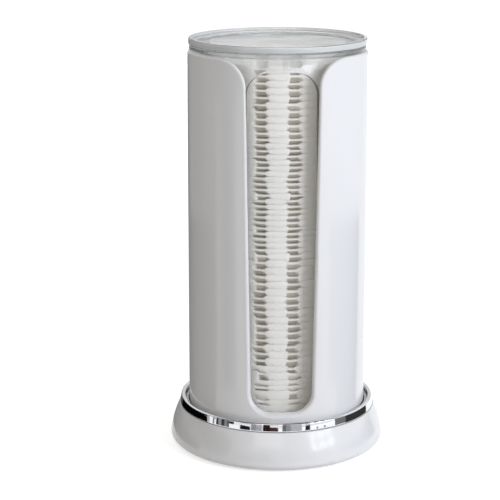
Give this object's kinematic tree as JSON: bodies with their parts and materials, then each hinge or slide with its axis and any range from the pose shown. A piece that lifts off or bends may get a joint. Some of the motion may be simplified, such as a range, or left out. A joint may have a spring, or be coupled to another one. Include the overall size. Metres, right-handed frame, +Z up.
{
  "type": "cotton round dispenser",
  "caption": "Upright bathroom dispenser for cotton rounds: white slotted tube on a flared base with a bright trim ring, clear inner sleeve full of pads, clear dished lid.",
  "frame": {"origin": "middle of the underside, on the common axis of the round pieces, at the surface it stands on", "axes": "+Z up along that axis; the tube's slot faces -Y; +X is to the right of someone who faces the slot"},
  "size_m": [0.09, 0.09, 0.1711],
  "materials": {
    "white_plastic": "glossy moulded white ABS",
    "clear_plastic": "clear polished polystyrene",
    "bright_plate": "bright chrome plate on ABS",
    "foam": "pale soft foam",
    "cotton": "pressed cotton fleece with two channels across"
  },
  "bodies": {
    "stand": {"base": "white_plastic", "trim_ring": "bright_plate", "foot_ring": "foam", "outer_shell": "white_plastic"},
    "stack": {"cotton_pad_01": "cotton", "cotton_pad_02": "cotton", "cotton_pad_03": "cotton", "cotton_pad_04": "cotton", "cotton_pad_05": "cotton", "cotton_pad_06": "cotton", "cotton_pad_07": "cotton", "cotton_pad_08": "cotton", "cotton_pad_09": "cotton", "cotton_pad_10": "cotton", "cotton_pad_11": "cotton", "cotton_pad_12": "cotton", "cotton_pad_13": "cotton", "cotton_pad_14": "cotton", "cotton_pad_15": "cotton", "cotton_pad_16": "cotton", "cotton_pad_17": "cotton", "cotton_pad_18": "cotton", "cotton_pad_19": "cotton", "cotton_pad_20": "cotton", "cotton_pad_21": "cotton", "cotton_pad_22": "cotton", "cotton_pad_23": "cotton", "cotton_pad_24": "cotton", "cotton_pad_25": "cotton", "cotton_pad_26": "cotton", "cotton_pad_27": "cotton", "cotton_pad_28": "cotton", "cotton_pad_29": "cotton", "cotton_pad_30": "cotton", "cotton_pad_31": "cotton", "cotton_pad_32": "cotton", "cotton_pad_33": "cotton", "cotton_pad_34": "cotton", "cotton_pad_35": "cotton", "cotton_pad_36": "cotton", "cotton_pad_37": "cotton", "cotton_pad_38": "cotton", "cotton_pad_39": "cotton", "cotton_pad_40": "cotton", "cotton_pad_41": "cotton", "cotton_pad_42": "cotton", "cotton_pad_43": "cotton", "cotton_pad_44": "cotton", "cotton_pad_45": "cotton", "cotton_pad_46": "cotton", "cotton_pad_47": "cotton", "cotton_pad_48": "cotton", "cotton_pad_49": "cotton", "cotton_pad_50": "cotton", "cotton_pad_51": "cotton", "cotton_pad_52": "cotton", "cotton_pad_53": "cotton", "cotton_pad_54": "cotton"},
    "sleeve": {"inner_sleeve": "clear_plastic"},
    "lid": {"lid": "clear_plastic"}
  },
  "joints": [
    {"name": "sleeve_lift", "type": "slide", "parent": "stand", "child": "stack", "axis": [0, 0, 1], "range_m": [0, 0.155]},
    {"name": "sleeve_turn", "type": "hinge", "parent": "stack", "child": "sleeve", "pos_m": [0, 0, 0.1], "axis": [0, 0, 1], "continuous": true},
    {"name": "lid_lift", "type": "slide", "parent": "sleeve", "child": "lid", "axis": [0, 0, 1], "range_m": [0, 0.04]}
  ]
}
